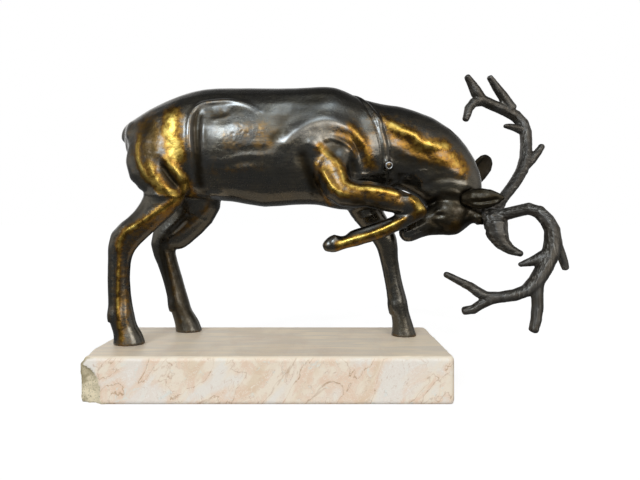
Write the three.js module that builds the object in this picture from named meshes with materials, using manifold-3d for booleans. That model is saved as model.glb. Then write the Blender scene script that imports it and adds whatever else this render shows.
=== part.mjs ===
// A bronze stag that rubs its head on a raised foreleg, standing on a marble slab.
// Millimetres. The origin is the centre of the resting face, +Z is up, the stag faces +X, and its near side is -Y.
import * as THREE from "three";
import { mergeVertices } from "three/addons/utils/BufferGeometryUtils.js";
import Module from "manifold-3d";

const wasm = await Module();
wasm.setup();

// Driving dimensions
const BASE_LENGTH = 316;
const BASE_DEPTH = 115;
const BASE_TOP = 40; // height of the slab's top above the table
const FELT_THICKNESS = 0.8;
const BASE_BEVEL = 2.5;
const BASE_CORNER = 2.5;
const GAP = 0.3; // clearance between neighbouring pieces
const WALL = 5.5; // wall of the hollow castings
const FIGURE_Y = 8; // the stag's middle plane: it stands a little behind the slab's middle

const STUD_RADIUS = 2.5; // M5 studs that hold the hooves to the slab
const STUD_HOLE_RADIUS = 3;
const STUD_END = 5; // height of the studs' lower ends
const COUNTERBORE_RADIUS = 9;
const COUNTERBORE_TOP = 15;
const WASHER_RADIUS = 6;
const WASHER_THICKNESS = 1.2;
const NUT_ACROSS_FLATS = 8;
const NUT_HEIGHT = 4;
const HOOF_BORE_DEPTH = 12;
const PIN_RADIUS = 1.5; // pins that hold the antlers
const SCREW_HEAD_RADIUS = 3.7;
const SCREW_HEAD_HEIGHT = 2;
const SCREW_SHANK_RADIUS = 2;
const SLEEVE_LENGTH = 14; // how far the body's sleeve reaches into the neck
const SLEEVE_WALL = 3;
const SLEEVE_BITE = 2; // how far the sleeve's root reaches into the body's wall
const ROOT_MARGIN = 3.5; // solid metal kept round the root of each leg
const OVERRUN = 1; // how far a cutter runs past the face that it cuts

// The seam between the body and the neck: from the withers it runs down and forward over both shoulders.
// It starts beside the ridge line of the back, so that no two edges coincide.
const SEAM_POINT = [78, FIGURE_Y + 0.4, 275];
const SEAM_SWEEP = 0.6; // how far it leads forward for each millimetre out from the middle plane
const SEAM_SLANT = 0.19; // and for each millimetre down

const ACROSS = new THREE.Vector3(0, 1, 0);

// ---------------------------------------------------------------- solids

function solidOf(geometry) {
  const bare = geometry.index ? geometry.clone() : geometry;
  bare.deleteAttribute("normal");
  bare.deleteAttribute("uv");
  const merged = mergeVertices(bare, 1e-3);
  return new wasm.Manifold(
    new wasm.Mesh({
      numProp: 3,
      vertProperties: new Float32Array(merged.attributes.position.array),
      triVerts: new Uint32Array(merged.index.array),
    }),
  );
}

function geometryOf(solid) {
  const mesh = solid.getMesh();
  const positions = new Float32Array(mesh.numVert * 3);
  for (let i = 0; i < mesh.numVert; i++) {
    positions.set(mesh.vertProperties.subarray(i * mesh.numProp, i * mesh.numProp + 3), i * 3);
  }
  const geometry = new THREE.BufferGeometry();
  geometry.setAttribute("position", new THREE.BufferAttribute(positions, 3));
  geometry.setIndex(new THREE.BufferAttribute(new Uint32Array(mesh.triVerts), 1));
  return geometry;
}

const join = (solids) => solids.reduce((whole, solid) => whole.add(solid));

// A casting with its close vertices merged, and without the slivers that grazing cuts leave beside it.
function mainBody(solid) {
  const bodies = solidOf(geometryOf(solid)).decompose();
  return bodies.reduce((a, b) => (b.volume() > a.volume() ? b : a));
}

// The part of a solid on the side of a plane that the normal points to, moved off the plane by `off`.
function ahead(solid, { point, normal }, off = 0) {
  const unit = new THREE.Vector3(...normal).normalize();
  return solid.trimByPlane(unit.toArray(), unit.dot(new THREE.Vector3(...point)) + off);
}

function behind(solid, { point, normal }, off = 0) {
  return ahead(solid, { point, normal: normal.map((n) => -n) }, off);
}

// A round bar between two heights, or turned and moved to lie along any line.
function bar(radius, low, high, sides = 24) {
  const geometry = new THREE.CylinderGeometry(radius, radius, high - low, sides);
  geometry.rotateX(Math.PI / 2);
  geometry.translate(0, 0, (low + high) / 2);
  return geometry;
}

function barAlong(radius, from, to, sides = 24) {
  const start = new THREE.Vector3(...from);
  const along = new THREE.Vector3(...to).sub(start);
  const geometry = bar(radius, 0, along.length(), sides);
  geometry.applyQuaternion(
    new THREE.Quaternion().setFromUnitVectors(new THREE.Vector3(0, 0, 1), along.normalize()),
  );
  geometry.translate(...from);
  return geometry;
}

// ---------------------------------------------------------------- lofts

// A closed skin through oval rings. A station is [x, y, z, tall, wide]: a ring's centre, its half height in the
// plane of the path and its half width across it. `grow` swells the whole skin, and `domes` rounds its ends by
// that many millimetres. `square` above 2 flattens the rings' sides. Rings stand square to the path, or to `facing`.
function loft(stations, { sides = 16, steps = 2, grow = 0, domes = [0, 0], square = 2, facing } = {}) {
  const path = new THREE.CatmullRomCurve3(stations.map((s) => new THREE.Vector3(s[0], s[1], s[2])));
  const sizes = new THREE.CatmullRomCurve3(stations.map((s) => new THREE.Vector3(s[3], s[4] ?? s[3], 0)));
  path.curveType = "catmullrom";
  sizes.curveType = "catmullrom";

  const rings = [];
  const addRing = (u, shrink, out) => {
    const along = (facing ?? path.getTangent(u)).clone();
    const side = ACROSS.clone().addScaledVector(along, -ACROSS.dot(along)).normalize();
    const up = along.clone().cross(side);
    const size = sizes.getPoint(u);
    rings.push({ centre: path.getPoint(u).addScaledVector(along, out), side, up, size, shrink });
  };
  const spans = (stations.length - 1) * steps;
  const domeAngles = [75, 50, 25].map(THREE.MathUtils.degToRad);
  if (domes[0]) {
    domeAngles.forEach((a) => addRing(0, Math.cos(a), -Math.sin(a) * (domes[0] + grow)));
  }
  for (let i = 0; i <= spans; i++) addRing(i / spans, 1, 0);
  if (domes[1]) {
    domeAngles.reverse().forEach((a) => addRing(1, Math.cos(a), Math.sin(a) * (domes[1] + grow)));
  }

  const positions = [];
  const push = (v) => positions.push(v.x, v.y, v.z);
  for (const ring of rings) {
    for (let i = 0; i < sides; i++) {
      const a = (2 * Math.PI * i) / sides;
      const bulge = (Math.abs(Math.cos(a)) ** square + Math.abs(Math.sin(a)) ** square) ** (-1 / square);
      const wide = (ring.size.y + grow) * ring.shrink * bulge * Math.cos(a);
      const tall = (ring.size.x + grow) * ring.shrink * bulge * Math.sin(a);
      push(ring.centre.clone().addScaledVector(ring.side, wide).addScaledVector(ring.up, tall));
    }
  }
  const last = rings.length - 1;
  push(path.getPoint(0).addScaledVector(facing ?? path.getTangent(0), domes[0] ? -domes[0] - grow : 0));
  push(path.getPoint(1).addScaledVector(facing ?? path.getTangent(1), domes[1] ? domes[1] + grow : 0));
  const startPole = rings.length * sides;
  const endPole = startPole + 1;

  const faces = [];
  for (let i = 0; i < sides; i++) {
    const next = (i + 1) % sides;
    faces.push(startPole, next, i);
    faces.push(endPole, last * sides + i, last * sides + next);
    for (let r = 0; r < last; r++) {
      const here = r * sides;
      const there = here + sides;
      faces.push(here + i, here + next, there + i);
      faces.push(here + next, there + next, there + i);
    }
  }
  const geometry = new THREE.BufferGeometry();
  geometry.setAttribute("position", new THREE.BufferAttribute(new Float32Array(positions), 3));
  geometry.setIndex(faces);
  return solidOf(geometry);
}

// ---------------------------------------------------------------- the stag's masses

// The trunk, as [x, top, bottom, half width] from rump to breast.
const TRUNK = [
  [-137, 248, 214, 15],
  [-132, 252.5, 201, 23],
  [-122, 259, 190, 29],
  [-108, 266.5, 181, 32.5],
  [-88, 275, 177, 35],
  [-66, 281, 175, 35],
  [-40, 282, 173, 35.5],
  [-10, 282, 168, 36],
  [20, 282, 170, 36],
  [42, 283.5, 170, 35],
  [60, 282.5, 166, 33],
  [76, 276, 165, 30],
  [90, 269, 167, 26],
  [102, 255, 173, 20],
];
const trunk = (grow, detail = { sides: 28 }) =>
  loft(
    TRUNK.map(([x, top, bottom, wide]) => [x, FIGURE_Y, (top + bottom) / 2, (top - bottom) / 2, wide]),
    { ...detail, square: 2.2, domes: [6, 8], facing: new THREE.Vector3(1, 0, 0), grow },
  );

const NECK = [
  [70, FIGURE_Y, 224, 46, 28],
  [84, FIGURE_Y, 223, 49.5, 29],
  [100, FIGURE_Y, 223.5, 45.5, 27.5],
  [120, FIGURE_Y, 224.5, 40.5, 25.5],
  [140, FIGURE_Y, 221, 36, 23.5],
  [157, 7.5, 209, 34.5, 22],
  [170, 7, 196, 30, 20.5],
  [178, 6.5, 181, 25, 18],
  [182, 6, 168, 18, 14],
];
const neck = (grow, detail = { sides: 24 }) => loft(NECK, { ...detail, domes: [6, 8], grow });

// The slack of the throat, under the neck and behind the jaw.
const THROAT = [
  [104, FIGURE_Y, 196, 10, 12],
  [118, FIGURE_Y, 195.5, 10.5, 13],
  [131, FIGURE_Y, 194.5, 11.5, 14],
  [144, 7.5, 189, 13, 15],
  [155, 7, 181, 14, 15],
];
const throat = () => loft(THROAT, { sides: 16, domes: [6, 6] });

const HEAD = [
  [192, 7, 169, 13, 12],
  [182, 6, 164, 16, 15.5],
  [170, 5, 160, 20, 16.5],
  [158, 5, 156, 16.3, 14.5],
  [147, 4, 152, 12.6, 12],
  [137, 4, 147.2, 10.6, 10.5],
  [130.5, 4, 143.3, 9.6, 9.8],
  [126, 4, 140.8, 7.6, 8.4],
];
const head = () => loft(HEAD, { sides: 20, domes: [8, 4] });

const TAIL = [
  [-134, FIGURE_Y, 245.5, 7, 8],
  [-141, FIGURE_Y, 240.5, 6.5, 7.5],
  [-144.5, FIGURE_Y, 233, 4.5, 5.5],
];
const tail = () => loft(TAIL, { sides: 12, domes: [2, 3] });

// Each leg runs from its shoulder or haunch to the hoof. Standing legs run on below the slab's top, where a level
// cut leaves the hoof's sole.
const HIND_NEAR = [
  [-96, -6, 245, 25, 17],
  [-99, -9, 226, 33.5, 18],
  [-102.5, -12, 207, 33.5, 17.5],
  [-100, -14, 190, 26.5, 15.5],
  [-100.5, -15.5, 176, 18.5, 13.5],
  [-110, -16, 162, 14, 11],
  [-124, -15.5, 148, 12.8, 9.2],
  [-136.5, -15, 136, 13.6, 8.6],
  [-141, -15, 119, 10.2, 7.5],
  [-142, -15, 100, 9.6, 7],
  [-141, -14.5, 80, 10.2, 7.2],
  [-139, -14.5, 65, 11.4, 8.2],
  [-136, -14.5, 54, 11.2, 8.2],
  [-133, -14.5, 45, 13.4, 9.5],
  [-132, -14.5, 36, 14.8, 10.2],
];
const HIND_FAR = [
  [-88, 20, 247, 24, 17],
  [-88, 24, 225, 31, 18],
  [-89, 28, 205, 33, 17.5],
  [-86, 31, 188, 30, 15.5],
  [-84, 34, 172, 26, 13.5],
  [-92.5, 36, 154.5, 20, 11],
  [-110, 37, 140, 19.4, 9.5],
  [-118, 37.5, 129, 13, 8.6],
  [-114, 37.5, 112, 10.2, 7.5],
  [-109, 37.5, 96, 9.8, 7],
  [-105, 37.5, 81, 9.9, 7.2],
  [-101, 37.5, 67, 10.2, 8.2],
  [-98, 37.5, 58, 10, 8.2],
  [-93, 37.5, 46, 12.4, 9.5],
  [-91, 37.5, 36, 13.6, 10.2],
];
const FORE_STANDING = [
  [70, 14, 228, 26, 16],
  [78, 15, 205, 24, 16],
  [84, 15, 184, 19.5, 14],
  [89, 15.5, 167, 16, 12.5],
  [100.5, 16.5, 150, 13, 10.5],
  [110, 17, 134, 11.3, 9.5],
  [113, 18, 119, 9.1, 8],
  [116, 18.5, 103, 8.4, 7],
  [119, 18.5, 88, 8.6, 7.2],
  [122, 18.5, 73, 9.5, 8.2],
  [124.5, 18.5, 62, 8.9, 8],
  [127, 18.5, 50, 10.2, 8.8],
  [128.5, 18.5, 36, 13.2, 10],
];
const FORE_RAISED = [
  [66, -4, 243, 24, 16],
  [61, -10, 226, 24, 16],
  [56, -16, 208, 18.5, 14],
  [57, -21, 192, 15, 12],
  [68, -25, 179.5, 13.5, 11],
  [87, -27, 178.3, 11.9, 10],
  [103, -26, 174.8, 12, 9],
  [118, -25, 170.6, 10.4, 8.6],
  [130, -24.3, 166.6, 9, 8.4],
];
const CANNON_RAISED = [
  [135, -24, 164, 8, 8],
  [124, -23.3, 157, 7.2, 7],
  [110, -22.3, 150, 7.2, 6.5],
  [97, -21, 144.5, 7.8, 6.6],
  [83, -20, 140.3, 7.6, 7],
  [75, -19.6, 137.6, 7.5, 7],
  [68.5, -19.4, 134.4, 5.5, 6.4],
  [63, -19.2, 133.9, 6.9, 6.8],
  [56.5, -19, 132.8, 7.9, 7],
  [50.5, -19, 130.4, 5.2, 5.6],
];

const hindNear = (grow) => loft(HIND_NEAR, { domes: [10, 0], grow });
const hindFar = (grow) => loft(HIND_FAR, { domes: [10, 0], grow });
const foreStanding = (grow) => loft(FORE_STANDING, { domes: [10, 0], grow });
const foreRaised = (grow) =>
  loft(FORE_RAISED, { domes: [8, 6], grow }).add(loft(CANNON_RAISED, { domes: [6, 3], grow }));

// Where the legs are brazed on: each cut runs across its leg.
const HIND_NEAR_CUT = { point: [-98, -16, 177], normal: [-0.1, 0, -0.99] };
const HIND_FAR_CUT = { point: [-90, 34, 162], normal: [-0.4, 0, -0.92] };
const STANDING_CUT = { point: [97, 16, 161], normal: [0.35, 0, -0.94] };
const RAISED_CUT = { point: [57, -20, 195], normal: [0.1, -0.3, -0.95] };
const SOLE = { point: [0, 0, BASE_TOP + GAP], normal: [0, 0, 1] };

// The part of a solid on the neck's side of the seam, and the part on the body's side.
function beyondSeam(solid, off = 0) {
  const nearSide = ahead(solid, { point: SEAM_POINT, normal: [1, SEAM_SWEEP, SEAM_SLANT] }, off);
  return ahead(nearSide, { point: SEAM_POINT, normal: [1, -SEAM_SWEEP, SEAM_SLANT] }, off);
}
const beforeSeam = (solid, off = 0) => solid.subtract(beyondSeam(solid, off));

// ---------------------------------------------------------------- antlers and ears

// A branch is a list of [x, y, z, radius], from its root to its tip.
const ANTLER_NEAR = {
  burr: { at: [200, -5, 156.5], towards: [208, -9.5, 158.5] },
  branches: [
    [[198, -4, 156, 6.5], [207, -9, 159, 6.2], [216, -15, 160, 5.5], [225, -21, 163, 5.3], [233, -26, 165, 5.5],
      [240, -31, 162, 5.7], [245, -35, 155, 6], [248, -39, 146, 6.5], [247, -42, 135, 7.3], [243, -45, 124, 7.1],
      [236, -47, 111, 6.7], [229, -48, 101, 6.3], [221, -48, 94, 5.4], [211, -47, 90, 4.8], [200, -45, 88, 4.6],
      [189, -43, 88, 4.6], [182, -42, 92, 4.1], [175, -41, 97, 3.7], [165, -39.5, 102, 3.1], [155, -38, 107, 2.4]],
    [[200, -45, 88, 4.4], [192, -44, 86, 4.4], [185, -43, 82, 4], [178, -42, 77, 3.8], [170, -41, 75.5, 3.2]],
    [[231, -47.5, 105, 5.8], [230, -49, 93, 4.8], [230, -50, 80, 4.6], [228.5, -51, 70, 4.4], [225.5, -52, 61, 3.8]],
    [[246, -40, 144, 5.6], [252, -40, 132, 4.2], [256.5, -40, 121, 3.6], [259, -40, 112.5, 2.8]],
    [[243, -45, 126, 6], [233, -44, 121, 4.5], [226, -43, 118, 3.4], [219, -42, 116, 1.8]],
    [[207, -8.5, 158, 8.5], [208.5, -11, 150, 11.4], [210, -14, 141, 9.6], [213.5, -17, 133, 6.6],
      [219.5, -20, 127.5, 4.3], [227.5, -23, 124, 2.4]],
  ],
};
const ANTLER_FAR = {
  burr: { at: [202, 12, 165], towards: [210, 15.5, 167.5] },
  branches: [
    [[200, 11, 164, 6.5], [209, 15, 167, 6], [218, 18, 170, 5.5], [227, 22, 175, 5.3], [237, 28, 185, 5.3],
      [246, 33, 195, 5.5], [255, 39, 207, 6], [261, 44, 220, 6.3], [264, 50, 236, 6], [265, 53, 249, 5.9],
      [263, 56, 259, 6], [256, 58, 268, 6], [245, 58, 274, 5.7], [231, 56, 279, 5.5], [218, 54, 284, 5.7],
      [212, 53, 292, 5.8], [206.5, 52, 301, 4.5], [201, 50, 308, 3]],
    [[220, 54, 283, 5], [209, 52, 281, 5], [203, 50, 274, 4.6], [201, 49, 267, 3.7], [199, 48, 262, 3.2]],
    [[251, 58, 275, 6.5], [241.5, 56, 289, 5], [233, 54, 299, 4], [226, 52, 308, 2.9]],
    [[265, 54, 251, 5.5], [254, 52, 254, 3.8], [247, 50, 255, 3], [241, 48, 255, 2]],
    [[258, 41, 211, 5.4], [266, 42, 218, 4.6], [273, 43, 226, 3.8], [278, 44, 233, 2.8]],
    [[206, 14, 167, 6.5], [216, 22, 164, 8], [224, 28, 166, 6.2], [231, 32, 172, 4], [236, 34, 180, 2]],
  ],
};
const PEDICLES = [
  [[186, 1, 161, 8], [193, -2, 158.5, 6.4], [201, -5.3, 156.4, 6.6]],
  [[188, 8, 167, 8], [195, 9.5, 165, 7.6], [203, 12.3, 165.2, 7]],
];
const BRANCH_SWELL = 0.4; // added to every radius below the burr
const BURR_RADIUS = 8.6;
const BURR_LENGTH = 3.6;
const BURR_START = 0.8; // where the burr's ring starts, beyond the end of the pedicle
const BURR_ROUNDING = 1.6;
const FOOT_REACH = 16; // how far the space on the head's side of a burr goes back
const FOOT_MARGIN = 6; // and how far it stands out round the burr
const CROWN_REACH = 14; // the same for the space on the antler's side
const CROWN_MARGIN = 3;

// The space beside a burr, from one distance to another along the antler's axis.
function burrSide({ at: start, towards }, margin, from, to) {
  const axis = new THREE.Vector3(...towards).sub(new THREE.Vector3(...start)).normalize();
  const along = (d) => new THREE.Vector3(...start).addScaledVector(axis, d).toArray();
  return solidOf(barAlong(BURR_RADIUS + margin, along(from), along(to)));
}
const footSpace = (burr) => burrSide(burr, FOOT_MARGIN, -FOOT_REACH, GAP);
const crownSpace = (burr) => burrSide(burr, CROWN_MARGIN, 0, CROWN_REACH);

function antler({ burr, branches }) {
  const [at, towards] = [burr.at, burr.towards].map((p) => new THREE.Vector3(...p));
  const axis = towards.sub(at).normalize();
  const ring = (along, radius) => [...at.clone().addScaledVector(axis, along).toArray(), radius];
  const [low, high] = [BURR_START, BURR_START + BURR_LENGTH];
  const rim = BURR_RADIUS - BURR_ROUNDING;
  const burrRing = loft([ring(low, rim), ring((low + high) / 2, BURR_RADIUS), ring(high, rim)], { sides: 14 });
  const shape = { sides: 9, steps: 1, domes: [2, 1.5], grow: BRANCH_SWELL };
  const grown = branches.map((stations) => loft(stations, shape));
  return join([...grown, burrRing]).subtract(footSpace(burr));
}

const EAR_NEAR = [
  [179, -8, 175, 6, 3.5],
  [186, -12, 175, 9, 5],
  [194, -16, 174.5, 10, 5],
  [202, -19.5, 174.5, 8.4, 4],
  [208, -22, 174.7, 5, 2.6],
  [211, -23.4, 175, 2, 1.4],
];
const EAR_FAR = [
  [191, 15, 188, 6, 3.5],
  [197, 18, 195.5, 8.5, 4.6],
  [204, 22, 203.5, 9.6, 4.8],
  [210.5, 26, 211, 9.6, 4],
  [214.5, 29, 216.6, 7.6, 2.8],
  [216.5, 30.4, 219.4, 4.8, 1.6],
];
const ear = (stations, grow) => loft(stations, { sides: 12, steps: 1, domes: [2, 1.5], grow });

// ---------------------------------------------------------------- hardware

// The three standing hooves, as [x, y].
const STUDS = {
  hind_near: [-132, -14.5],
  hind_far: [-91.5, 37.5],
  fore: [128, 18.5],
};
const at = ([x, y], geometry) => geometry.translate(x, y, 0);

function hoofBore(spot) {
  const hole = bar(STUD_RADIUS + GAP, BASE_TOP - OVERRUN, BASE_TOP + GAP + HOOF_BORE_DEPTH);
  return solidOf(at(spot, hole));
}

function hoofStud(spot) {
  return solidOf(at(spot, bar(STUD_RADIUS, STUD_END, BASE_TOP + HOOF_BORE_DEPTH - GAP)));
}

function ringOf(outer, inner, low, high, sides) {
  const hole = bar(inner, low - OVERRUN, high + OVERRUN);
  return solidOf(bar(outer, low, high, sides)).subtract(solidOf(hole));
}

function hoofWasher([x, y]) {
  const high = COUNTERBORE_TOP - GAP;
  return ringOf(WASHER_RADIUS, STUD_RADIUS + GAP, high - WASHER_THICKNESS, high, 32).translate([x, y, 0]);
}

function hoofNut([x, y]) {
  const high = COUNTERBORE_TOP - WASHER_THICKNESS - 2 * GAP;
  const cornerRadius = NUT_ACROSS_FLATS / Math.sqrt(3);
  return ringOf(cornerRadius, STUD_RADIUS + GAP, high - NUT_HEIGHT, high, 6).translate([x, y, 0]);
}

// Pins that hold the antlers on the pedicles, reaching the same way into both.
const PIN_REACH = 7;

function antlerPin({ burr }, grow = 0) {
  const start = new THREE.Vector3(...burr.at);
  const axis = new THREE.Vector3(...burr.towards).sub(start).normalize();
  const reach = PIN_REACH + grow;
  const ends = [-reach, reach].map((d) => start.clone().addScaledVector(axis, d).toArray());
  return solidOf(barAlong(PIN_RADIUS + grow, ...ends, 16));
}

// The screws through the neck's rim into the sleeve, one on each side, as a point on the skin and a way in.
const SCREWS = {
  near: { at: [108, -18.5, 205], inward: [-0.12, 0.97, 0.2] },
  far: { at: [94, 34, 212], inward: [0.12, -0.97, 0.1] },
};
const SCREW_DEPTH = 11;
const SCREW_SEAT = 1; // how deep the heads are let into the skin
const SCREW_OPENING = 4; // how many clearances a head's pocket is open above it

function neckScrew({ at: point, inward }, grow = 0) {
  const start = new THREE.Vector3(...point);
  const axis = new THREE.Vector3(...inward).normalize();
  const along = (d) => start.clone().addScaledVector(axis, d).toArray();
  const headOutside = SCREW_HEAD_HEIGHT + SCREW_OPENING * grow;
  const headBar = barAlong(SCREW_HEAD_RADIUS + grow, along(-headOutside), along(SCREW_SEAT + grow), 20);
  const shank = barAlong(SCREW_SHANK_RADIUS + grow, along(0), along(SCREW_DEPTH + grow), 16);
  return solidOf(headBar).add(solidOf(shank));
}

// ---------------------------------------------------------------- castings

const brazedLegs = [
  [hindNear, HIND_NEAR_CUT],
  [hindFar, HIND_FAR_CUT],
  [foreStanding, STANDING_CUT],
  [foreRaised, RAISED_CUT],
];

// The trunk, neck and head as one mass, before it is parted at the seam.
function torso() {
  const pedicles = PEDICLES.map((stations) => loft(stations, { sides: 14, steps: 1, domes: [3, 0] }));
  return join([trunk(0), neck(0), throat(), head(), tail(), ...pedicles]);
}

const INNER = { sides: 16, steps: 1 }; // hidden surfaces need fewer facets

// The hollow inside the trunk and neck. It stays clear of the legs' roots and of the skull, which are solid metal.
const SKULL = { point: [168, FIGURE_Y, 200], normal: [0.7, 0, -0.7] };

function hollow() {
  const legMetal = join(brazedLegs.map(([leg, cut]) => ahead(leg(ROOT_MARGIN), cut, -WALL)));
  const inside = trunk(-WALL, INNER).add(neck(-WALL, INNER));
  return behind(inside, SKULL).subtract(legMetal);
}

// The body's tongue that fits inside the neck's rim.
function sleeve() {
  const collar = (grow, start, end) => beforeSeam(beyondSeam(neck(grow, INNER), start), end);
  const root = collar(SLEEVE_BITE - WALL, -SLEEVE_LENGTH, -GAP);
  const tongue = collar(-WALL - GAP, -SLEEVE_LENGTH, SLEEVE_LENGTH);
  return root.add(tongue).subtract(neck(-WALL - SLEEVE_WALL, INNER));
}

const mass = torso();
const cavity = hollow();
const screwSpace = join(Object.values(SCREWS).map((screw) => neckScrew(screw, GAP)));
const earSpace = ear(EAR_NEAR, GAP).add(ear(EAR_FAR, GAP));

// The body keeps the roots of all four legs, down to where the legs are brazed on.
function bodyCasting() {
  const roots = brazedLegs.map(([leg, cut]) => behind(leg(0), cut));
  const legSpace = join(brazedLegs.map(([leg, cut]) => ahead(leg(GAP), cut, -GAP)));
  const metal = join([beforeSeam(mass, -GAP), ...roots]).subtract(legSpace).subtract(cavity);
  return mainBody(metal.add(sleeve()).subtract(screwSpace));
}

function neckHeadCasting() {
  const cutters = [cavity, earSpace, screwSpace, antlerPin(ANTLER_NEAR, GAP), antlerPin(ANTLER_FAR, GAP)];
  const sleeveSpace = beforeSeam(neck(-WALL, INNER), SLEEVE_LENGTH + GAP);
  const legSpace = brazedLegs.map(([leg]) => leg(GAP));
  const crowns = [ANTLER_NEAR, ANTLER_FAR].map(({ burr }) => crownSpace(burr));
  const spaces = join([...cutters, sleeveSpace, ...legSpace, ...crowns]);
  return mainBody(beyondSeam(mass).subtract(spaces));
}

function standingLeg(leg, cut, spot) {
  return ahead(ahead(leg(0), cut), SOLE).subtract(hoofBore(spot));
}

function raisedLeg() {
  return ahead(foreRaised(0), RAISED_CUT);
}

// ---------------------------------------------------------------- slab and felt

function roundedSlab(length, depth, corner) {
  const [x, y] = [length / 2, depth / 2];
  const shape = new THREE.Shape();
  shape.absarc(x - corner, y - corner, corner, 0, Math.PI / 2);
  shape.absarc(corner - x, y - corner, corner, Math.PI / 2, Math.PI);
  shape.absarc(corner - x, corner - y, corner, Math.PI, 1.5 * Math.PI);
  shape.absarc(x - corner, corner - y, corner, 1.5 * Math.PI, 2 * Math.PI);
  shape.closePath();
  return shape;
}

// The broken corner, at the near edge and the stag's tail end: the top edge is knocked off at the corner, and a
// shallow flake came off the upright edge below it. Each is a lumpy ball pressed into the stone.
const KNOCK = { radii: [9, 32, 10], centre: [-BASE_LENGTH / 2 - 3, -BASE_DEPTH / 2 - 2, BASE_TOP + 3] };
const FLAKE = { radii: [34, 18, 46], centre: [-BASE_LENGTH / 2 - 4, -BASE_DEPTH / 2 - 12, 6] };
const BREAK_LUMPS = 0.06; // height of the lumps, as a share of the radii

function lumpyBall({ radii, centre }) {
  const ball = new THREE.IcosahedronGeometry(1, 4);
  const spots = ball.attributes.position;
  const spot = new THREE.Vector3();
  for (let i = 0; i < spots.count; i++) {
    spot.fromBufferAttribute(spots, i);
    const lumps = Math.sin(9 * spot.x + 2) * Math.sin(8 * spot.y) * Math.sin(7 * spot.z + 1);
    spot.multiplyScalar(1 + BREAK_LUMPS * lumps);
    spots.setXYZ(i, spot.x, spot.y, spot.z);
  }
  ball.scale(...radii);
  ball.translate(...centre);
  return solidOf(ball);
}
const brokenCorner = () => lumpyBall(KNOCK).add(lumpyBall(FLAKE));

function marbleSlab() {
  const outline = roundedSlab(BASE_LENGTH - 2 * BASE_BEVEL, BASE_DEPTH - 2 * BASE_BEVEL, BASE_CORNER);
  const geometry = new THREE.ExtrudeGeometry(outline, {
    depth: BASE_TOP - BASE_BEVEL,
    bevelSize: BASE_BEVEL,
    bevelThickness: BASE_BEVEL,
    bevelSegments: 3,
    curveSegments: 4,
  });
  const block = ahead(solidOf(geometry), { point: [0, 0, 0], normal: [0, 0, 1] });
  const pocket = feltSheet(GAP, -OVERRUN, FELT_THICKNESS + GAP);
  const bores = Object.values(STUDS).flatMap((spot) => [
    solidOf(at(spot, bar(STUD_HOLE_RADIUS, 0, BASE_TOP + OVERRUN))),
    solidOf(at(spot, bar(COUNTERBORE_RADIUS, 0, COUNTERBORE_TOP, 32))),
  ]);
  return block.subtract(join([...bores, pocket])).subtract(brokenCorner());
}

// The felt lies in a shallow pocket under the slab, flush with the slab's resting rim.
const FELT_INSET = 9; // width of that rim

function feltSheet(grow, low, high) {
  const inset = 2 * (FELT_INSET - grow);
  const sheet = new THREE.ExtrudeGeometry(roundedSlab(BASE_LENGTH - inset, BASE_DEPTH - inset, BASE_CORNER), {
    depth: high - low,
    bevelEnabled: false,
    curveSegments: 4,
  });
  return solidOf(sheet.translate(0, 0, low));
}

// ---------------------------------------------------------------- finishes and assembly

const finish = (color, roughness, metalness) => () =>
  new THREE.MeshStandardMaterial({ color, roughness, metalness });
const bronze = finish(0x3a2a18, 0.35, 1);
const antlerBronze = finish(0x4a463f, 0.55, 1);
const marble = finish(0xdcc3ae, 0.45, 0);
const felt = finish(0x2f4a38, 0.95, 0);
const steel = finish(0x8f9194, 0.35, 1);

const stag = new THREE.Group();

function place(name, solid, material) {
  const mesh = new THREE.Mesh(geometryOf(solid), material());
  mesh.name = name;
  stag.add(mesh);
}

place("marble_base", marbleSlab(), marble);
place("base_felt", feltSheet(0, 0, FELT_THICKNESS), felt);
place("body_casting", bodyCasting(), bronze);
place("neck_head_casting", neckHeadCasting(), bronze);
place("hind_leg_near", standingLeg(hindNear, HIND_NEAR_CUT, STUDS.hind_near), bronze);
place("hind_leg_far", standingLeg(hindFar, HIND_FAR_CUT, STUDS.hind_far), bronze);
place("foreleg_standing", standingLeg(foreStanding, STANDING_CUT, STUDS.fore), bronze);
place("foreleg_raised", raisedLeg(), bronze);
place("ear_near", ear(EAR_NEAR, 0), bronze);
place("ear_far", ear(EAR_FAR, 0), bronze);
place("antler_near", antler(ANTLER_NEAR).subtract(antlerPin(ANTLER_NEAR, GAP)), antlerBronze);
place("antler_far", antler(ANTLER_FAR).subtract(antlerPin(ANTLER_FAR, GAP)), antlerBronze);
place("antler_pin_near", antlerPin(ANTLER_NEAR), steel);
place("antler_pin_far", antlerPin(ANTLER_FAR), steel);
for (const [side, screw] of Object.entries(SCREWS)) {
  place(`neck_screw_${side}`, neckScrew(screw), steel);
}
for (const [leg, spot] of Object.entries(STUDS)) {
  place(`stud_${leg}`, hoofStud(spot), steel);
  place(`washer_${leg}`, hoofWasher(spot), steel);
  place(`nut_${leg}`, hoofNut(spot), steel);
}

export default stag;
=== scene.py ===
"""The looks of a bronze stag on its marble slab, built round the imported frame.

Blender works in metres, +Z up, and the stag faces +X. The sculpting below works in millimetres of the same
frame: a point on the stag's side is [x, z], and its near side is the one that faces -Y.
"""

import math

import bmesh
import bpy
import numpy as np
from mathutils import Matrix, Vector, noise
from numpy.linalg import norm


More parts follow.
